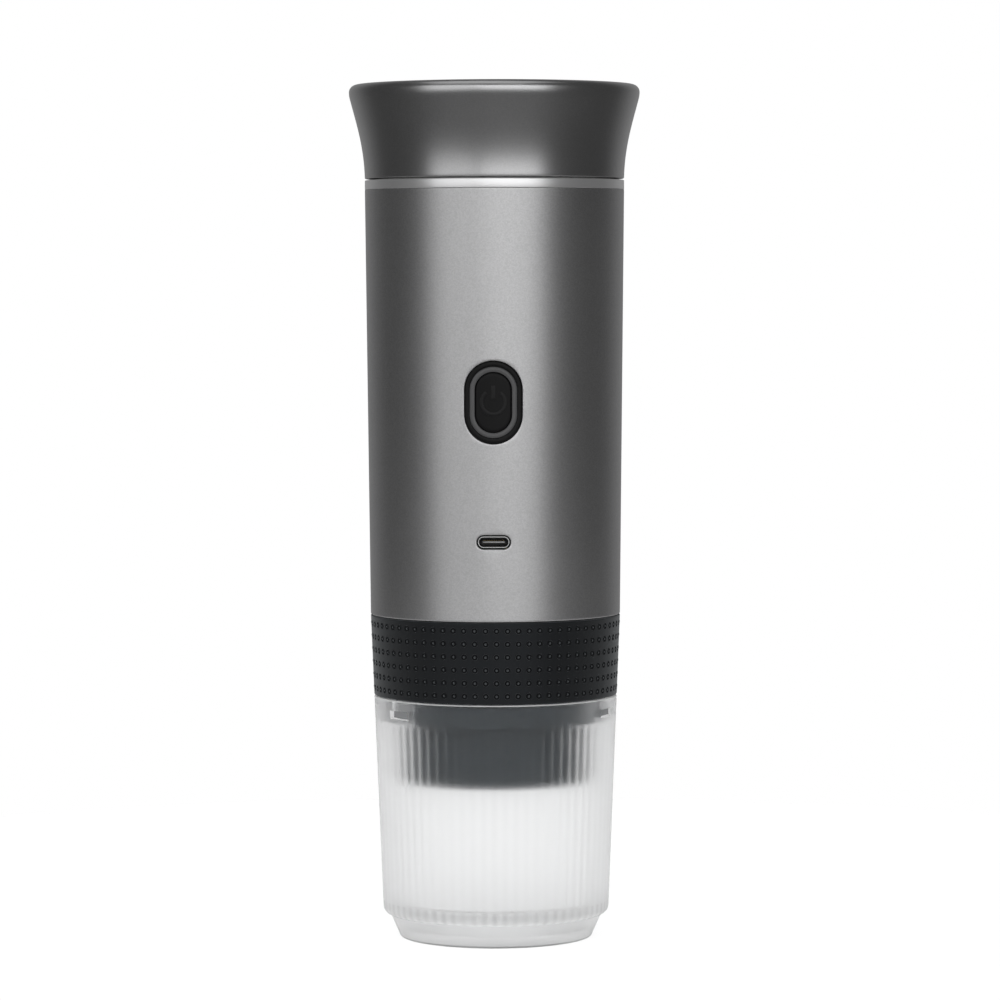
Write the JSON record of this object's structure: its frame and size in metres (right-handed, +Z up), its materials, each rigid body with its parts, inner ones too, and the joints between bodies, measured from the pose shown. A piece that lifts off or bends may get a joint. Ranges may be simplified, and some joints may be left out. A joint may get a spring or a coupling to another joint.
{
  "type": "portable espresso machine",
  "caption": "Slim battery espresso machine: frosted ribbed cup, dimpled screw-on coffee holder, satin cylinder with power button and charging port, flared screw lid.",
  "frame": {"origin": "centre of the base, at the level that the cup's foot stands on", "axes": "+Z up along the body's axis; the button and the charging port face -Y; +X to the right seen from the front"},
  "size_m": [0.0838, 0.0838, 0.2464],
  "materials": {
    "gunmetal": "satin anodised gunmetal",
    "bright_steel": "fine brushed",
    "tank_steel": "satin stainless",
    "motor_steel": "zinc plated",
    "port_steel": "bright",
    "heater_aluminium": "as cast",
    "brass": "plain",
    "cell_wrap": "shrink wrap",
    "board_green": "lacquered board",
    "gloss_black": "semi-gloss black",
    "black_plastic": "moulded black",
    "holder_grey": "moulded dark grey",
    "pale_plastic": "moulded pale grey",
    "light_grey": "smoked light guide",
    "grip_rubber": "dimpled soft touch",
    "silicone": "plain silicone",
    "frosted_plastic": "frosted translucent"
  },
  "bodies": {
    "machine": {"battery_cell_left": "cell_wrap", "battery_cell_rear": "cell_wrap", "battery_cell_right": "cell_wrap", "board_chips": "black_plastic", "board_screws": "tank_steel", "brew_gasket": "silicone", "brew_head": "black_plastic", "button_bezel": "gloss_black", "chassis": "pale_plastic", "chassis_screws": "tank_steel", "control_board": "board_green", "heater_plate": "heater_aluminium", "inlet_hose": "silicone", "light_ring": "light_grey", "outer_shell": "gunmetal", "outlet_nipple": "tank_steel", "outlet_seal": "silicone", "pressure_hose": "silicone", "pump_cushion": "silicone", "pump_diaphragm": "silicone", "pump_head": "black_plastic", "pump_motor": "motor_steel", "screen_screws": "tank_steel", "shower_screen": "tank_steel", "tact_switch": "black_plastic", "tank_collar": "black_plastic", "temp_sensor": "brass", "trim_ring": "bright_steel", "usb_shell": "port_steel", "usb_tongue": "black_plastic", "water_tank": "tank_steel"},
    "lid": {"lid_shell": "gunmetal", "lid_liner": "black_plastic", "lid_vent": "silicone"},
    "lid_gasket": {"lid_seal": "silicone"},
    "button": {"power_button": "gloss_black", "switch_plunger": "pale_plastic"},
    "pump_rotor": {"motor_shaft": "tank_steel", "pump_cam": "pale_plastic"},
    "coffee_basket": {"basket": "tank_steel"},
    "holder": {"brew_holder": "holder_grey", "grip_band": "grip_rubber"},
    "cup": {"cup": "frosted_plastic"}
  },
  "joints": [
    {"name": "lid_rise", "type": "slide", "parent": "machine", "child": "lid_gasket", "axis": [0, 0, 1], "range_m": [0, 0.01201]},
    {"name": "lid_turn", "type": "hinge", "parent": "lid_gasket", "child": "lid", "pos_m": [0, 0, 0.2194], "axis": [0, 0, 1], "range_deg": [0, 540]},
    {"name": "button_press", "type": "slide", "parent": "machine", "child": "button", "axis": [0, 1, 0], "range_m": [0, 0.0006], "stiffness_N_per_m": 1500},
    {"name": "pump_spin", "type": "hinge", "parent": "machine", "child": "pump_rotor", "pos_m": [0, 0, 0.1101], "axis": [0, 0, 1], "continuous": true},
    {"name": "holder_drop", "type": "slide", "parent": "machine", "child": "coffee_basket", "axis": [0, 0, -1], "range_m": [0, 0.01801]},
    {"name": "holder_turn", "type": "hinge", "parent": "coffee_basket", "child": "holder", "pos_m": [0, 0, 0.0764], "axis": [0, 0, -1], "range_deg": [0, 540]},
    {"name": "cup_pull", "type": "slide", "parent": "holder", "child": "cup", "axis": [0, 0, -1], "range_m": [0, 0.04]}
  ],
  "couplings": [
    {"joint": "lid_rise", "follows": "lid_turn", "m_per_rad": 0.0012732},
    {"joint": "holder_drop", "follows": "holder_turn", "m_per_rad": 0.0019099}
  ]
}
